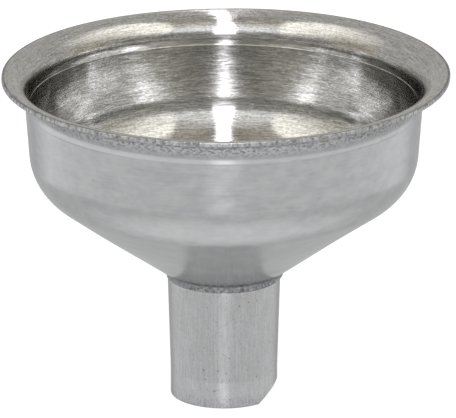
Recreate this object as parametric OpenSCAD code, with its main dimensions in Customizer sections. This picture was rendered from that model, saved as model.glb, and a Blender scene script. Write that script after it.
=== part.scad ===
// Small stainless steel funnel: a pressed bowl with a flared lip, and a drawn tube for a spout,
// soldered on under it. Millimetres. +Z is up along the axis, and the spout's tip rests on z = 0.
// Every piece is a ring about the axis: its section is drawn as [radius, height] and turned round.

/* [Lip] */
// Outside diameter of the flared lip
lip_d = 50; // [49:0.5:56]
// Width of the flat band round the top of the lip
lip_land = 0.3; // [0.2:0.05:0.8]
// Radius of the flare, on the side that faces up
flare_r = 2.95; // [2:0.05:3.2]
// Upright stretch between the step and the flare
flare_base_h = 0.35; // [0.2:0.05:1]
// Width of the small step where the flare begins
step_w = 0.05; // [0.03:0.01:0.3]

/* [Bowl] */
// Height of the whole funnel, standing on its spout
height = 37.5; // [36:0.5:42]
// Thickness of the bowl's sheet
sheet = 0.5; // [0.3:0.05:0.7]
// Angle by which the wall leans inwards, in degrees
wall_lean = 4.2; // [1:0.2:6]
// Angle of the cone above the horizontal, in degrees
cone_rise = 35.8; // [32:0.2:38]
// Outside radius of the shoulder between wall and cone
shoulder_r = 6.4; // [4:0.1:8]
// Radius where the cone turns down into its collar, underneath
collar_bend_r = 0.3; // [0.1:0.05:0.5]
// Length of the collar that sits inside the spout
collar_l = 2.2; // [1:0.1:4]

/* [Spout] */
// Outside diameter of the spout where its side meets the cone
spout_top_d = 12.68; // [12.2:0.02:14]
// Outside diameter of the spout at its tip
spout_tip_d = 12; // [11.5:0.02:12.1]
// Height at which the spout's side meets the cone
spout_l = 14.38; // [12:0.02:16]
// Thickness of the spout's wall
spout_wall = 0.5; // [0.3:0.05:0.6]
// Length of the straight stretch at the tip
tip_land = 3; // [2:0.5:7]
// Height of the slanted cut at one side of the tip
bevel_h = 1.75; // [0.5:0.05:2]
// Angle of that cut above the horizontal, in degrees
bevel_angle = 40; // [30:1:60]

/* [Solder] */
// Height of the solder band on the spout, under the cone
solder_h = 0.5; // [0.5:0.05:1.5]
// How far the solder stands out from the spout
solder_proud = 0.12; // [0.05:0.01:0.3]
// Radius of the hollow between the solder and the cone
solder_hollow_r = 0.6; // [0.3:0.1:1]

/* [Hidden] */
$fn = 96;

edge_r = 0.1;        // every cut edge is broken by this much
step_drop = 0.06;    // fall of the step over its width
solder_gap = 0.03;   // radial gap between collar and spout
seat_gap = 0.12;     // how far the spout's top end stays under the cone
margin = 1;          // how far a shape that is cut away reaches past what it cuts
gore_depth = 0.25;   // how far a rounding's gore reaches behind its corner
overlap = 0.001;     // added to a rounding's radius, so that it crosses its straights cleanly

lip_r = lip_d / 2;
flare_base_r = lip_r - lip_land - flare_r;
step_z = height - flare_r - flare_base_h;
wall_r = flare_base_r - step_w + sheet;

spout_top_r = spout_top_d / 2;
spout_tip_r = spout_tip_d / 2;
spout_taper = (spout_top_r - spout_tip_r) / (spout_l - tip_land);
collar_r = spout_top_r - spout_wall - solder_gap - spout_taper * collar_l;

// Directions in the section, following the sheet from the lip down to the collar
inwards = [-1, 0];
down = [0, -1];
wall_dir = [-sin(wall_lean), -cos(wall_lean)];
cone_dir = [-cos(cone_rise), -sin(cone_rise)];

function cross2(a, b) = a[0] * b[1] - a[1] * b[0];
// The side of direction d that the bowl's inside lies on
function inner_side(d) = [d[1], -d[0]];
// Where the line through p along u meets the line through q along v
function meet(p, u, q, v) = p + u * cross2(q - p, v) / cross2(u, v);
// The corner p between directions u and v, moved by t through the sheet towards its inside
function inset(p, u, v, t) =
    p + (inner_side(u) + inner_side(v)) * t / (1 + inner_side(u) * inner_side(v));

// Corners of the underside, before they are rounded
spout_corner = [spout_top_r, spout_l];
shoulder_corner = meet([wall_r, step_z], wall_dir, spout_corner, cone_dir);
collar_corner = meet(spout_corner, cone_dir, [collar_r, 0], down);
collar_end = collar_corner[1] - collar_l;

spout_end = collar_corner[1] - seat_gap;
function spout_r(z) = spout_tip_r + max(0, z - tip_land) * spout_taper;

// What lies between a corner p, with direction u leading in and v leading out, and its rounding
// of radius r. It also reaches a little way behind the corner, to join or cut cleanly.
module gore(p, u, v, r) {
    reach = r * tan(acos(u * v) / 2);
    start = p - u * reach;
    end = p + v * reach;
    centre = start + sign(cross2(u, v)) * r * [-u[1], u[0]];
    difference() {
        polygon([
            start,
            start + (start - centre) / r * gore_depth,
            p + (p - centre) / r * gore_depth,
            end + (end - centre) / r * gore_depth,
            end
        ]);
        translate(centre) circle(r = r + overlap);
    }
}

// Everything from the axis out to one face of the bowl's sheet: t is how deep that face lies
// from the underside, so 0 is the underside and the full sheet is the bowl's inside
module within(t, bottom, top) {
    lip_corner = [flare_base_r + sheet - t, height - sheet + t];
    shoulder = inset(shoulder_corner, wall_dir, cone_dir, t);
    collar = inset(collar_corner, cone_dir, down, t);
    difference() {
        polygon([
            [0, bottom],
            [collar[0], bottom],
            collar,
            shoulder,
            [wall_r - t, step_z - step_drop],
            [lip_corner[0], step_z],
            [lip_corner[0], top],
            [0, top]
        ]);
        gore(shoulder, wall_dir, cone_dir, shoulder_r - t);
    }
    gore(lip_corner, inwards, down, flare_r - sheet + t);
    gore(collar, cone_dir, down, collar_bend_r + t);
}

// A disc as thick as the sheet and as wide as the lip, with its edges broken
module lip_disc() {
    polygon([
        [0, height - sheet],
        [lip_r - edge_r, height - sheet],
        [lip_r, height - sheet + edge_r],
        [lip_r, height - edge_r],
        [lip_r - edge_r, height],
        [0, height]
    ]);
}

module bowl() {
    color("silver")
        rotate_extrude()
            difference() {
                union() {
                    within(0, collar_end, height);
                    lip_disc();
                }
                within(sheet, collar_end - margin, height + margin);
            }
}

module spout_section() {
    polygon([
        [spout_tip_r - edge_r, 0],
        [spout_tip_r, edge_r],
        [spout_tip_r, tip_land],
        [spout_r(spout_end), spout_end],
        [spout_r(spout_end) - spout_wall, spout_end],
        [spout_tip_r - spout_wall, tip_land],
        [spout_tip_r - spout_wall, edge_r],
        [spout_tip_r - spout_wall + edge_r, 0]
    ]);
}

// The slanted cut takes away what lies below a plane that rises towards +X
module tip_cut() {
    reach = spout_tip_d;
    translate([spout_tip_r, 0, bevel_h])
        rotate([0, -bevel_angle, 0])
            translate([-reach, -reach, -reach])
                cube([2 * reach, 2 * reach, reach]);
}

module spout() {
    color("lightgray")
        difference() {
            rotate_extrude() spout_section();
            tip_cut();
        }
}

// Solder fills the wedge over the spout's end, and makes a low band outside it with a hollow
// where it runs out onto the cone
module solder_section() {
    band_low = spout_l - solder_h;
    band_r = spout_r(band_low) + solder_proud;
    band_corner = meet(spout_corner, cone_dir, [band_r, 0], down);
    difference() {
        union() {
            polygon([
                [collar_r, band_low],
                [band_r - edge_r, band_low],
                [band_r, band_low + edge_r],
                band_corner + down * overlap,
                [collar_r, band_corner[1]]
            ]);
            gore(band_corner, cone_dir, down, solder_hollow_r);
        }
        within(0, 0, height);
        polygon([
            [0, 0],
            [spout_r(0), 0],
            [spout_tip_r, tip_land],
            [spout_r(spout_end), spout_end],
            [0, spout_end]
        ]);
    }
}

module solder_ring() {
    color("gainsboro")
        rotate_extrude() solder_section();
}

bowl();
spout();
solder_ring();
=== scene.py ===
import math

import bpy
import numpy as np
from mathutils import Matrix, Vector, noise


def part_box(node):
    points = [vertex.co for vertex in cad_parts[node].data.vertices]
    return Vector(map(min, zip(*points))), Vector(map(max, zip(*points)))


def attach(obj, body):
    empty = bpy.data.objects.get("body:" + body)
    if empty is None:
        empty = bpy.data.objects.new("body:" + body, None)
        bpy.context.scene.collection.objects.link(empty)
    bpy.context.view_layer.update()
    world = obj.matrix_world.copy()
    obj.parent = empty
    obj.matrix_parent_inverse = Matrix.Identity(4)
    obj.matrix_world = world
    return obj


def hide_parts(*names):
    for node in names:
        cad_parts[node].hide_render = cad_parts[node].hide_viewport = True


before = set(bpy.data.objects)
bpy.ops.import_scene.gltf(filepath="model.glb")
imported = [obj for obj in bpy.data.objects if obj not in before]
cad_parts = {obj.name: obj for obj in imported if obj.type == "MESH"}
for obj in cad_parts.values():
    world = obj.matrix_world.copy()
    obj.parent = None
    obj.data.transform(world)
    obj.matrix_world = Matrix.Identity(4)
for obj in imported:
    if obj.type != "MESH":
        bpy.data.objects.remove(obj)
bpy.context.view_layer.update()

# ---------------------------------------------------------------- sizes, in metres
MM = 0.001
TAU = 2 * math.pi

BOWL_LOW, BOWL_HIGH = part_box("bowl")
SPOUT_LOW, SPOUT_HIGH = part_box("spout")

HEIGHT = BOWL_HIGH[2]
LIP_R = (BOWL_HIGH[0] - BOWL_LOW[0]) / 2
COLLAR_END = BOWL_LOW[2]
SPOUT_END = SPOUT_HIGH[2]

SHEET = 0.5 * MM
LIP_LAND = 0.3 * MM
FLARE_R = 2.95 * MM
FLARE_BASE_H = 0.35 * MM
STEP_W = 0.05 * MM
STEP_DROP = 0.06 * MM
WALL_LEAN = math.radians(4.2)
CONE_RISE = math.radians(35.8)
SHOULDER_R = 6.4 * MM
COLLAR_BEND_R = 0.3 * MM
COLLAR_L = 2.2 * MM
SPOUT_TOP_R = 6.34 * MM
SPOUT_TIP_R = 6.0 * MM
SPOUT_L = 14.38 * MM
SPOUT_WALL = 0.5 * MM
TIP_LAND = 3 * MM
BEVEL_H = 1.75 * MM
BEVEL_ANGLE = math.radians(40)
SOLDER_H = 0.5 * MM
SOLDER_PROUD = 0.12 * MM
SOLDER_HOLLOW_R = 0.6 * MM
SOLDER_GAP = 0.03 * MM

EDGE_R = 0.1 * MM
CREASE_R = 0.06 * MM
SOLDER_EDGE_R = 0.05 * MM
SHARP_R = 0.01 * MM

# How the real thing departs from a true ring about the axis
RIM_SHIFT = 0.22 * MM
RIM_LIFT = 0.24 * MM
BODY_LEAN = 0.19 * MM
LEAN_Z = 20.5 * MM
LEAN_SPREAD = 3.5 * MM
SOLDER_LUMP = 0.03 * MM
SOLDER_BULGE = 0.2 * MM

FLARE_BASE_R = LIP_R - LIP_LAND - FLARE_R
STEP_Z = HEIGHT - FLARE_R - FLARE_BASE_H
WALL_R = FLARE_BASE_R - STEP_W + SHEET
TAPER = (SPOUT_TOP_R - SPOUT_TIP_R) / (SPOUT_L - TIP_LAND)
COLLAR_R = SPOUT_TOP_R - SPOUT_WALL - SOLDER_GAP - TAPER * COLLAR_L

ROUND = 288  # segments once round the axis
ARC_STEP = math.radians(6)


# ---------------------------------------------------------------- sections
def meet(p, u, q, v):
    """Where the line through p along u meets the line through q along v."""
    cross = u[0] * v[1] - u[1] * v[0]
    k = ((q[0] - p[0]) * v[1] - (q[1] - p[1]) * v[0]) / cross
    return (p[0] + u[0] * k, p[1] + u[1] * k)


def inset(p, u, v, t):
    """The corner p between directions u and v, moved by t through the sheet to its inside."""
    nu, nv = (u[1], -u[0]), (v[1], -v[0])
    k = t / (1 + nu[0] * nv[0] + nu[1] * nv[1])
    return (p[0] + (nu[0] + nv[0]) * k, p[1] + (nu[1] + nv[1]) * k)


DOWN = (0.0, -1.0)
WALL_DIR = (-math.sin(WALL_LEAN), -math.cos(WALL_LEAN))
CONE_DIR = (-math.cos(CONE_RISE), -math.sin(CONE_RISE))
SPOUT_CORNER = (SPOUT_TOP_R, SPOUT_L)
SHOULDER = meet((WALL_R, STEP_Z), WALL_DIR, SPOUT_CORNER, CONE_DIR)
COLLAR = meet(SPOUT_CORNER, CONE_DIR, (COLLAR_R, 0), DOWN)


def rounded_loop(corners, longest):
    """A closed outline through corners (radius, height, rounding, tag), as points
    (radius, height, tag). Each point's tag is that of the corner before it."""
    n = len(corners)
    p = [np.array(c[:2]) for c in corners]
    parts = []
    for i, (_, _, rounding, tag) in enumerate(corners):
        a, b = p[i] - p[i - 1], p[(i + 1) % n] - p[i]
        a, b = a / np.linalg.norm(a), b / np.linalg.norm(b)
        turn = math.atan2(a[0] * b[1] - a[1] * b[0], float(a @ b))
        reach = rounding * math.tan(abs(turn) / 2)
        start = p[i] - a * reach
        side = math.copysign(1.0, turn)
        centre = start + side * rounding * np.array([-a[1], a[0]])
        by_angle = math.ceil(abs(turn) / ARC_STEP)
        by_length = math.ceil(abs(turn) * rounding / longest)
        steps = max(3, by_angle, by_length)
        arc = []
        for k in range(steps + 1):
            angle = turn * k / steps
            c, s = math.cos(angle), math.sin(angle)
            d = start - centre
            arc.append(centre + np.array([c * d[0] - s * d[1], s * d[0] + c * d[1]]))
        parts.append((arc, tag))
    out = []
    for i, (arc, tag) in enumerate(parts):
        out += [(q[0], q[1], tag) for q in arc]
        following = parts[(i + 1) % n][0][0]
        gap = np.linalg.norm(following - arc[-1])
        cuts = max(1, math.ceil(gap / longest))
        for k in range(1, cuts):
            q = arc[-1] + (following - arc[-1]) * k / cuts
            out.append((q[0], q[1], tag))
    return out


def lathe(name, section, shape, tags):
    """Turns a closed section round the axis. shape(radius, height, angle, tag) gives each
    vertex, and tags lists the section's tags in the order of the material slots."""
    n = len(section)
    verts = []
    for k in range(ROUND):
        angle = TAU * k / ROUND
        for r, z, tag in section:
            verts.append(shape(r, z, angle, tag))
    faces, slots = [], []
    for k in range(ROUND):
        here, there = k * n, (k + 1) % ROUND * n
        for i in range(n):
            j = (i + 1) % n
            faces.append((here + i, there + i, there + j, here + j))
            slots.append(tags.index(section[i][2]))
    mesh = bpy.data.meshes.new(name)
    mesh.from_pydata(verts, [], faces)
    mesh.polygons.foreach_set("material_index", slots)
    mesh.polygons.foreach_set("use_smooth", [True] * len(faces))
    mesh.update()
    piece = bpy.data.objects.new(name, mesh)
    bpy.context.scene.collection.objects.link(piece)
    return piece


def turned(r, z, angle):
    return (r * math.cos(angle), r * math.sin(angle), z)


# ---------------------------------------------------------------- the three pieces
def ring_waves(s):
    """Shallow ridges that spinning leaves in the sheet, by distance s along it."""
    return (
        0.0022 * MM * math.sin(s / (0.31 * MM) + 1.3 * math.sin(s / (1.9 * MM)))
        + 0.003 * MM * math.sin(s / (0.83 * MM) + 0.7)
    )


def bowl_shape(r, z, angle, tag):
    """The rim is a little wavy, off centre and lifted at +X; the body leans a little to -X."""
    waves = ring_waves(r + z)
    if tag != "inside":
        waves = waves * 0.5
    up = min(1.0, max(0.0, (z - STEP_Z) / (HEIGHT - STEP_Z)))
    wobble = 0.035 * MM * math.sin(2 * angle + 0.8) + 0.015 * MM * math.sin(5 * angle + 2.0)
    lift = RIM_LIFT * max(0.0, math.cos(angle)) ** 0.7 + 0.03 * MM * math.sin(3 * angle + 0.4)
    lean = BODY_LEAN * math.exp(-(((z - LEAN_Z) / LEAN_SPREAD) ** 2))
    x, y, z = turned(r + waves + wobble * up, z, angle)
    return (x + RIM_SHIFT * up - lean, y, z + lift * up)


def make_bowl():
    soft = CREASE_R
    shoulder_in = inset(SHOULDER, WALL_DIR, CONE_DIR, SHEET)
    collar_in = inset(COLLAR, CONE_DIR, DOWN, SHEET)
    section = rounded_loop(
        [
            (LIP_R, HEIGHT, EDGE_R, "edge"),
            (LIP_R, HEIGHT - SHEET, EDGE_R, "outside"),
            (FLARE_BASE_R + SHEET, HEIGHT - SHEET, FLARE_R - SHEET, "outside"),
            (FLARE_BASE_R + SHEET, STEP_Z, soft, "outside"),
            (WALL_R, STEP_Z - STEP_DROP, soft, "outside"),
            (*SHOULDER, SHOULDER_R, "outside"),
            (*COLLAR, COLLAR_BEND_R, "outside"),
            (COLLAR_R, COLLAR_END, soft, "outside"),
            (COLLAR_R - SHEET, COLLAR_END, soft, "inside"),
            (*collar_in, COLLAR_BEND_R + SHEET, "inside"),
            (*shoulder_in, SHOULDER_R - SHEET, "inside"),
            (WALL_R - SHEET, STEP_Z - STEP_DROP, soft, "inside"),
            (FLARE_BASE_R, STEP_Z, soft, "inside"),
            (FLARE_BASE_R, HEIGHT, FLARE_R, "inside"),
        ],
        0.12 * MM,
    )
    return lathe("funnel_bowl", section, bowl_shape, ["outside", "inside", "edge"])


def spout_r(z):
    return SPOUT_TIP_R + max(0.0, z - TIP_LAND) * TAPER


def spout_shape(r, z, angle, _tag):
    """The slanted cut at +X: the tip is pushed up to the cut's plane."""
    x, y, z = turned(r, z, angle)
    cut = max(0.0, BEVEL_H - (SPOUT_TIP_R - x) * math.tan(BEVEL_ANGLE))
    share = max(0.0, 1 - z / TIP_LAND)
    return (x, y, z + cut * share)


def make_spout():
    soft = CREASE_R
    top = spout_r(SPOUT_END)
    section = rounded_loop(
        [
            (SPOUT_TIP_R, 0, EDGE_R, "steel"),
            (SPOUT_TIP_R, TIP_LAND, soft, "steel"),
            (top, SPOUT_END, soft, "steel"),
            (top - SPOUT_WALL, SPOUT_END, soft, "steel"),
            (SPOUT_TIP_R - SPOUT_WALL, TIP_LAND, soft, "steel"),
            (SPOUT_TIP_R - SPOUT_WALL, 0, EDGE_R, "steel"),
        ],
        0.2 * MM,
    )
    return lathe("funnel_spout", section, spout_shape, ["steel"])


def solder_shape(r, z, angle, _tag):
    """Lumpy on the outside, and fullest at +X."""
    lump = noise.noise(Vector((math.cos(angle) * 5, math.sin(angle) * 5, z / MM)))
    outer = min(1.0, max(0.0, (r - SPOUT_TIP_R) / (0.4 * MM)))
    grow = (SOLDER_LUMP * lump + SOLDER_BULGE * max(0.0, math.cos(angle)) ** 3) * outer
    return turned(r + grow, z + grow, angle)


def make_solder():
    """Its upper side runs inside the bowl's sheet, and its inner side inside the spout's wall."""
    low = SPOUT_L - SOLDER_H
    band_r = spout_r(low) + SOLDER_PROUD
    corner = meet(SPOUT_CORNER, CONE_DIR, (band_r, 0), DOWN)
    reach = 1.0 * MM
    tail = (corner[0] - CONE_DIR[0] * reach, corner[1] - CONE_DIR[1] * reach)
    clear = 0.004 * MM
    inner = spout_r(SPOUT_END) - SPOUT_WALL
    above = meet((inner, 0), DOWN, SPOUT_CORNER, CONE_DIR)
    section = rounded_loop(
        [
            (*tail, SHARP_R, "outside"),
            (corner[0] + clear, corner[1] - clear, SOLDER_HOLLOW_R, "outside"),
            (band_r, low, SOLDER_EDGE_R, "outside"),
            (spout_r(low), low, SHARP_R, "outside"),
            (spout_r(SPOUT_END), SPOUT_END, SHARP_R, "outside"),
            (inner, SPOUT_END, SHARP_R, "outside"),
            (*above, SHARP_R, "outside"),
        ],
        0.08 * MM,
    )
    return lathe("funnel_solder", section, solder_shape, ["outside"])


bowl = make_bowl()
spout = make_spout()
solder = make_solder()


# ---------------------------------------------------------------- materials
class Nodes:
    """Short calls for building a material's node tree."""

    def __init__(self, name):
        self.material = bpy.data.materials.new(name)
        self.material.use_nodes = True
        self.tree = self.material.node_tree
        self.bsdf = self.tree.nodes["Principled BSDF"]

    def add(self, kind, **settings):
        node = self.tree.nodes.new(kind)
        for key, value in settings.items():
            setattr(node, key, value)
        return node

    def link(self, source, target):
        self.tree.links.new(source, target)

    def feed(self, socket, value):
        if isinstance(value, bpy.types.NodeSocket):
            self.link(value, socket)
        else:
            socket.default_value = value

    def math(self, operation, a, b=0.0, c=0.0):
        node = self.add("ShaderNodeMath", operation=operation)
        for socket, value in zip(node.inputs, (a, b, c), strict=True):
            self.feed(socket, value)
        return node.outputs[0]

    def vector(self, x, y, z):
        node = self.add("ShaderNodeCombineXYZ")
        for socket, value in zip(node.inputs, (x, y, z), strict=True):
            self.feed(socket, value)
        return node.outputs[0]

    def noise(self, vector, detail, roughness):
        node = self.add("ShaderNodeTexNoise")
        self.link(vector, node.inputs["Vector"])
        node.inputs["Scale"].default_value = 1.0
        node.inputs["Detail"].default_value = detail
        node.inputs["Roughness"].default_value = roughness
        return node.outputs[0]

    def stretch(self, x, y, z, by_x, by_y, by_z):
        """The place with each coordinate multiplied."""
        wide = self.math("MULTIPLY", x, by_x)
        deep = self.math("MULTIPLY", y, by_y)
        tall = self.math("MULTIPLY", z, by_z)
        return self.vector(wide, deep, tall)

    def lines(self, along, x, y, close, spill, detail, roughness):
        """Noise drawn out into lines that run round the axis."""
        return self.noise(self.stretch(along, x, y, close, spill, spill), detail, roughness)

    def spread(self, value, low, high, to_low, to_high):
        """Takes low..high to to_low..to_high, and holds the ends beyond them."""
        node = self.add("ShaderNodeMapRange")
        self.link(value, node.inputs["Value"])
        ends = {"From Min": low, "From Max": high, "To Min": to_low, "To Max": to_high}
        for key, end in ends.items():
            self.feed(node.inputs[key], end)
        return node.outputs[0]

    def blend(self, factor, first, second):
        node = self.add("ShaderNodeMix", data_type="RGBA")
        self.feed(node.inputs["Factor"], factor)
        self.feed(node.inputs["A"], first)
        self.feed(node.inputs["B"], second)
        return node.outputs["Result"]

    def place(self):
        """Object coordinates in millimetres."""
        coords = self.add("ShaderNodeTexCoord").outputs["Object"]
        split = self.add("ShaderNodeSeparateXYZ")
        self.link(coords, split.inputs[0])
        return [self.math("MULTIPLY", out, 1 / MM) for out in split.outputs]

    def radius(self, x, y):
        """Distance from the axis."""
        return self.math("SQRT", self.math("MULTIPLY_ADD", x, x, self.math("MULTIPLY", y, y)))

    def bump(self, height, strength, distance):
        node = self.add("ShaderNodeBump")
        node.inputs["Strength"].default_value = strength
        node.inputs["Distance"].default_value = distance
        self.link(height, node.inputs["Height"])
        return node.outputs[0]


def steel(name, base, rough, anisotropic, turned_lines=True):
    """Plain steel whose brushing runs round the axis, or along it without turned_lines."""
    m = Nodes(name)
    m.bsdf.inputs["Metallic"].default_value = 1.0
    m.bsdf.inputs["Base Color"].default_value = (*base, 1)
    m.bsdf.inputs["Roughness"].default_value = rough
    m.bsdf.inputs["Anisotropic"].default_value = anisotropic
    m.bsdf.inputs["Anisotropic Rotation"].default_value = 0.25 if turned_lines else 0.0
    tangent = m.add("ShaderNodeTangent", direction_type="RADIAL", axis="Z")
    m.link(tangent.outputs[0], m.bsdf.inputs["Tangent"])
    return m


def bowl_outside():
    """Satin: faint spun lines, soft mottling, and painted shade round the neck and under the lip,
    broken up by grain and specks.
    """
    m = steel("satin_steel", (0.58, 0.585, 0.59), 0.25, 0.4)
    x, y, z = m.place()
    r = m.radius(x, y)
    along = m.math("ADD", r, z)
    lines = m.lines(along, x, y, 7.0, 0.35, 3.0, 0.6)
    mottle = m.noise(m.stretch(x, y, z, 0.5, 0.5, 0.8), 4.0, 0.6)
    grain = m.noise(m.stretch(x, y, z, 5.0, 5.0, 6.0), 2.0, 0.6)
    specks = m.noise(m.stretch(x, y, z, 2.6, 2.6, 3.5), 3.0, 0.7)

    cloud = m.spread(mottle, 0.35, 0.65, 0.0, 1.0)
    shade = m.blend(cloud, (0.545, 0.55, 0.555, 1), (0.63, 0.632, 0.63, 1))
    shade = m.blend(m.spread(lines, 0.3, 0.7, 0.0, 0.35), shade, (0.68, 0.68, 0.68, 1))
    # painted shade: the steel darkens round the neck, where the cone meets the spout, broken up by
    # grain
    neck = m.math("ADD", m.spread(r, 9.5, 11.5, 0.45, 0.0), m.spread(r, 7.4, 8.6, 0.55, 0.0))
    neck_shade = m.math("MULTIPLY", neck, m.spread(grain, 0.4, 0.6, 0.95, 0.4))
    shade = m.blend(neck_shade, shade, (0.22, 0.22, 0.23, 1))
    # painted shade under the lip, broken into specks
    under_lip = m.spread(z, 34.7, 35.7, 0.0, 1.0)
    under_lip_shade = m.math("MULTIPLY", under_lip, m.spread(specks, 0.38, 0.56, 0.85, 0.15))
    shade = m.blend(under_lip_shade, shade, (0.16, 0.16, 0.165, 1))
    m.feed(m.bsdf.inputs["Base Color"], shade)

    satin = m.spread(m.math("ADD", lines, mottle), 0.6, 1.4, 0.17, 0.27)
    m.feed(m.bsdf.inputs["Roughness"], m.spread(r, 9.0, 16.0, 0.08, satin))
    height = m.math("MULTIPLY_ADD", grain, 0.6, lines)
    m.feed(m.bsdf.inputs["Normal"], m.bump(height, 0.13, 0.02 * MM))
    return m.material


def bowl_inside():
    """Spun and half polished: close scratches round the bowl, broken and uneven, with painted shade
    darkening the wall and a dark line at the rim."""
    m = steel("spun_steel", (0.6, 0.6, 0.6), 0.16, 0.9)
    x, y, z = m.place()
    along = m.math("ADD", m.radius(x, y), z)
    fine = m.lines(along, x, y, 6.0, 0.5, 3.0, 0.75)
    broad = m.lines(along, x, y, 1.6, 0.15, 3.0, 0.6)
    grain = m.noise(m.stretch(x, y, z, 3.0, 3.0, 5.0), 2.0, 0.7)
    mottle = m.noise(m.stretch(x, y, z, 0.4, 0.4, 0.4), 3.0, 0.6)
    scratch = m.math("MULTIPLY_ADD", grain, 0.6, fine)

    bright = m.spread(scratch, 0.55, 1.05, 0.0, 1.0)
    shade = m.blend(bright, (0.3, 0.295, 0.285, 1), (0.9, 0.9, 0.895, 1))
    shade = m.blend(m.spread(mottle, 0.4, 0.7, 0.0, 0.35), shade, (0.56, 0.545, 0.52, 1))
    # painted shade: the wall is painted darker than the rest of this same steel, streaked by the
    # scratches
    dull = m.spread(scratch, 0.6, 1.0, 0.0, 1.0)
    wall_shade = m.blend(dull, (0.3, 0.293, 0.28, 1), (0.7, 0.7, 0.69, 1))
    wall = m.math("MULTIPLY", m.spread(z, 24.0, 25.5, 0.0, 0.8), m.spread(z, 34.0, 34.3, 1.0, 0.0))
    shade = m.blend(wall, shade, wall_shade)
    rim_r = m.radius(m.math("SUBTRACT", x, RIM_SHIFT / MM), y)
    patchy = m.spread(mottle, 0.4, 0.6, 0.95, 0.6)
    rim = m.math("MULTIPLY", m.spread(rim_r, 24.68, 24.8, 0.0, 1.0), patchy)
    shade = m.blend(rim, shade, (0.14, 0.14, 0.15, 1))
    m.feed(m.bsdf.inputs["Base Color"], shade)

    rough = m.spread(m.math("ADD", fine, broad), 0.7, 1.3, 0.1, 0.17)
    m.feed(m.bsdf.inputs["Roughness"], rough)
    height = m.math("MULTIPLY_ADD", fine, 0.8, broad)
    m.feed(m.bsdf.inputs["Normal"], m.bump(height, 0.14, 0.02 * MM))
    return m.material


def bowl_edge():
    """The cut edge of the lip: dull, with burrs."""
    m = steel("cut_edge", (0.45, 0.45, 0.45), 0.35, 0.3)
    x, y, z = m.place()
    burrs = m.noise(m.stretch(x, y, z, 2.2, 2.2, 1.5), 4.0, 0.7)
    bright = m.spread(burrs, 0.35, 0.65, 0.0, 1.0)
    m.feed(m.bsdf.inputs["Base Color"], m.blend(bright, (0.2, 0.2, 0.2, 1), (0.7, 0.7, 0.7, 1)))
    m.feed(m.bsdf.inputs["Roughness"], m.spread(burrs, 0.3, 0.7, 0.22, 0.42))
    m.feed(m.bsdf.inputs["Normal"], m.bump(burrs, 0.35, 0.04 * MM))
    return m.material


def spout_steel():
    """Drawn: long scratches down the tube, small pits, a mottled tone and a tip darker towards its
    lower end.
    """
    m = steel("drawn_steel", (0.5, 0.505, 0.51), 0.28, 0.5, False)
    x, y, z = m.place()
    lines = m.noise(m.stretch(x, y, z, 4.5, 4.5, 0.25), 3.0, 0.65)
    mottle = m.noise(m.stretch(x, y, z, 0.9, 0.9, 0.6), 3.0, 0.6)
    grain = m.noise(m.stretch(x, y, z, 4.0, 4.0, 3.0), 3.0, 0.7)
    pits = m.noise(m.stretch(x, y, z, 2.6, 2.6, 2.6), 1.0, 0.5)

    bright = m.spread(lines, 0.3, 0.7, 0.0, 1.0)
    shade = m.blend(bright, (0.46, 0.463, 0.47, 1), (0.62, 0.622, 0.625, 1))
    shade = m.blend(m.spread(mottle, 0.35, 0.7, 0.0, 0.6), shade, (0.53, 0.517, 0.5, 1))
    shade = m.blend(m.spread(grain, 0.35, 0.5, 0.35, 0.0), shade, (0.34, 0.34, 0.36, 1))
    shade = m.blend(m.spread(pits, 0.72, 0.78, 0.0, 0.8), shade, (0.14, 0.14, 0.16, 1))
    # darker towards the tip's lower end, broken up by grain
    tip = m.spread(z, 0.3, 1.6, 0.6, 0.0)
    tip_darkening = m.math("MULTIPLY", tip, m.spread(grain, 0.4, 0.6, 1.0, 0.2))
    shade = m.blend(tip_darkening, shade, (0.3, 0.3, 0.325, 1))
    m.feed(m.bsdf.inputs["Base Color"], shade)

    rough = m.spread(m.math("ADD", lines, mottle), 0.6, 1.4, 0.2, 0.34)
    m.feed(m.bsdf.inputs["Roughness"], rough)
    m.feed(m.bsdf.inputs["Normal"], m.bump(lines, 0.3, 0.03 * MM))
    return m.material


def solder_metal():
    """Dull and grainy, darker than the steel."""
    m = steel("solder_metal", (0.4, 0.4, 0.41), 0.35, 0.0)
    x, y, z = m.place()
    lumps = m.noise(m.stretch(x, y, z, 3.5, 3.5, 3.5), 4.0, 0.65)
    bright = m.spread(lumps, 0.38, 0.62, 0.0, 1.0)
    m.feed(m.bsdf.inputs["Base Color"], m.blend(bright, (0.17, 0.17, 0.18, 1), (0.5, 0.5, 0.51, 1)))
    m.feed(m.bsdf.inputs["Roughness"], m.spread(lumps, 0.3, 0.7, 0.25, 0.45))
    m.feed(m.bsdf.inputs["Normal"], m.bump(lumps, 0.4, 0.04 * MM))
    return m.material


for piece, node, slot, materials in (
    (bowl, "bowl", "bowl_steel", [bowl_outside(), bowl_inside(), bowl_edge()]),
    (spout, "spout", "spout_steel", [spout_steel()]),
    (solder, "solder_ring", "solder", [solder_metal()]),
):
    for material in materials:
        piece.data.materials.append(material)
    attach(piece, "root")
    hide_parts(node)


# ---------------------------------------------------------------- floor, light and camera
CAMERA_ELEVATION = math.radians(18.57)
CAMERA_DISTANCE = 0.9
AIM = Vector((0.455 * MM, 0, 21.64 * MM))
VIEW_WIDTH = 51.12 * MM

FLOOR_HALF = 2.0
FLOOR_DROP = 0.02 * MM

DARK_PANEL = (0.28, 0.255, 0.215, 1)
PANEL = (0.46, 0.43, 0.36, 1)
FRONT_WALL = (1.25, 1.24, 1.24, 1)
FRONT_LOW = (0.27, 0.26, 0.24, 1)
BACK_WALL = (0.5, 0.49, 0.465, 1)
SOFT_BOX = (1.6, 1.56, 1.45, 1)
STRIP = (6.5, 6.5, 6.75, 1)
FLOOR_GLOW = (0.555, 0.56, 0.56, 1)
FLOOR_BELOW = (0.82, 0.825, 0.83, 1)
FLOOR_NEAR = (0.88, 0.885, 0.895, 1)
FLOOR_BEHIND = (0.5, 0.505, 0.51, 1)
FLOOR_AHEAD = (1.6, 1.6, 1.64, 1)
WHITE = (1, 1, 1, 1)


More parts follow.
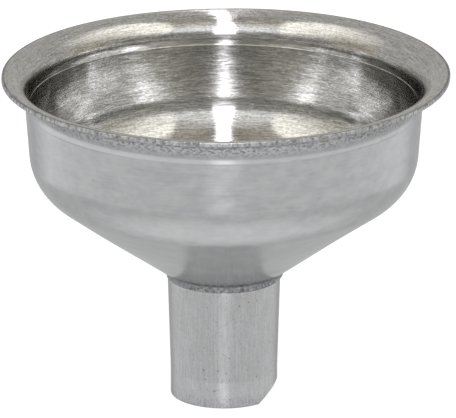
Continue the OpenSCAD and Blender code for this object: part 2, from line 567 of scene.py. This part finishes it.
def make_camera():
    data = bpy.data.cameras.new("camera")
    data.sensor_width = 36
    data.lens = data.sensor_width * CAMERA_DISTANCE / VIEW_WIDTH
    data.clip_start = 0.01
    data.clip_end = 20
    camera = bpy.data.objects.new("camera", data)
    away = Vector((0, -math.cos(CAMERA_ELEVATION), math.sin(CAMERA_ELEVATION)))
    camera.location = AIM + away * CAMERA_DISTANCE
    camera.rotation_euler = away.to_track_quat("Z", "Y").to_euler()
    bpy.context.scene.collection.objects.link(camera)
    bpy.context.scene.camera = camera


class WorldNodes(Nodes):
    """The same short calls, for the world."""

    def __init__(self, world):
        self.tree = world.node_tree


def strip_light(w, side, y, z, low):
    """Overhead, along Y: wider towards the front, and narrow where it runs down at the back."""
    front_half = w.math("MULTIPLY_ADD", low, 0.12, 0.031)
    half = w.spread(y, 0.1, 0.75, front_half, 0.006)
    across = w.spread(w.math("SUBTRACT", side, half), -0.008, 0.008, 1.0, 0.0)
    near_end = w.spread(z, 0.25, 0.45, 0.0, 1.0)
    far_end = w.math("MAXIMUM", w.spread(z, 0.4, 0.55, 0.0, 1.0), w.spread(y, 0.86, 0.91, 1.0, 0.0))
    end = w.math("MULTIPLY", w.spread(y, 0.0, 0.3, near_end, far_end), w.spread(z, 0.1, 0.2, 0.0, 1.0))
    return w.math("MULTIPLY", across, end)


def soft_boxes(w, side, y, z, low):
    """One at each side, brightest along its inner edge."""
    inner_edge = w.math("SUBTRACT", side, w.math("MULTIPLY", low, 0.3))
    fade = w.spread(side, 0.5, 0.9, 1.0, 0.25)
    across = w.math("MULTIPLY", w.spread(inner_edge, 0.32, 0.35, 0.0, 1.0), fade)
    high = w.spread(z, 0.3, 0.6, 0.0, 1.0)
    front = w.spread(y, 0.1, 0.5, 1.0, 0.0)
    return w.math("MULTIPLY", w.math("MULTIPLY", across, high), front)


def tent_walls(w, side, y, z):
    """Dim overhead and at the back, bright in front, and dark low down in front."""
    walls = w.blend(w.spread(side, 0.06, 0.16, 0.0, 1.0), DARK_PANEL, PANEL)
    walls = w.blend(w.spread(y, -0.3, -0.75, 0.0, 1.0), walls, FRONT_WALL)
    front_low = w.math("MULTIPLY", w.spread(z, 0.35, 0.5, 1.0, 0.0), w.spread(y, -0.2, -0.5, 0.0, 1.0))
    walls = w.blend(front_low, walls, FRONT_LOW)
    return w.blend(w.spread(y, 0.0, 0.3, 0.0, 1.0), walls, BACK_WALL)


def table(w, side, y, z):
    """The pale table that the metal mirrors, with a bright stripe straight ahead."""
    below = w.math("MULTIPLY", w.spread(z, -0.55, -0.9, 0.0, 1.0), w.spread(y, 0.1, 0.5, 1.0, 0.0))
    glow = w.blend(below, FLOOR_GLOW, FLOOR_BELOW)
    far = w.blend(w.spread(y, 0.55, 0.8, 0.0, 1.0), FLOOR_NEAR, FLOOR_BEHIND)
    glow = w.blend(w.spread(z, -0.42, -0.39, 0.0, 1.0), glow, far)
    ahead = w.math("MULTIPLY", w.spread(side, 0.06, 0.14, 1.0, 0.0), w.spread(y, -0.5, -0.7, 0.0, 1.0))
    stripe = w.math("MULTIPLY", ahead, w.spread(z, -0.405, -0.38, 0.0, 1.0))
    return w.blend(stripe, glow, FLOOR_AHEAD)


def make_world():
    """A light tent: a bright strip overhead along Y with a dim panel at each side of it, then a
    soft box at each side, and walls down to the table. The camera sees plain white."""
    world = bpy.data.worlds.new("studio")
    bpy.context.scene.world = world
    world.use_nodes = True
    w = WorldNodes(world)
    split = w.add("ShaderNodeSeparateXYZ")
    w.link(w.add("ShaderNodeTexCoord").outputs["Generated"], split.inputs[0])
    x, y, z = split.outputs
    side = w.math("ABSOLUTE", x)
    low = w.math("SUBTRACT", 1.0, z)

    colour = w.blend(soft_boxes(w, side, y, z, low), tent_walls(w, side, y, z), SOFT_BOX)
    colour = w.blend(strip_light(w, side, y, z, low), colour, STRIP)
    colour = w.blend(w.spread(z, -0.1, 0.05, 1.0, 0.0), colour, table(w, side, y, z))
    camera = w.add("ShaderNodeLightPath").outputs["Is Camera Ray"]
    background = w.tree.nodes["Background"]
    w.link(w.blend(camera, colour, WHITE), background.inputs["Color"])
    background.inputs["Strength"].default_value = 1.0


def make_floor():
    half = FLOOR_HALF
    mesh = bpy.data.meshes.new("floor")
    corners = [(-half, -half, 0), (half, -half, 0), (half, half, 0), (-half, half, 0)]
    mesh.from_pydata(corners, [], [(0, 1, 2, 3)])
    floor = bpy.data.objects.new("floor", mesh)
    bpy.context.scene.collection.objects.link(floor)
    floor.location.z = -FLOOR_DROP
    m = Nodes("pale_floor")
    m.bsdf.inputs["Base Color"].default_value = (0.25, 0.25, 0.25, 1)
    m.bsdf.inputs["Roughness"].default_value = 1.0
    m.bsdf.inputs["Specular IOR Level"].default_value = 0.0
    m.bsdf.inputs["Emission Color"].default_value = WHITE
    m.bsdf.inputs["Emission Strength"].default_value = 0.87
    mesh.materials.append(m.material)
    floor.visible_glossy = False


make_camera()
make_floor()
make_world()
scene = bpy.context.scene
scene.view_settings.view_transform = "Standard"
scene.cycles.max_bounces = 12
scene.cycles.glossy_bounces = 10
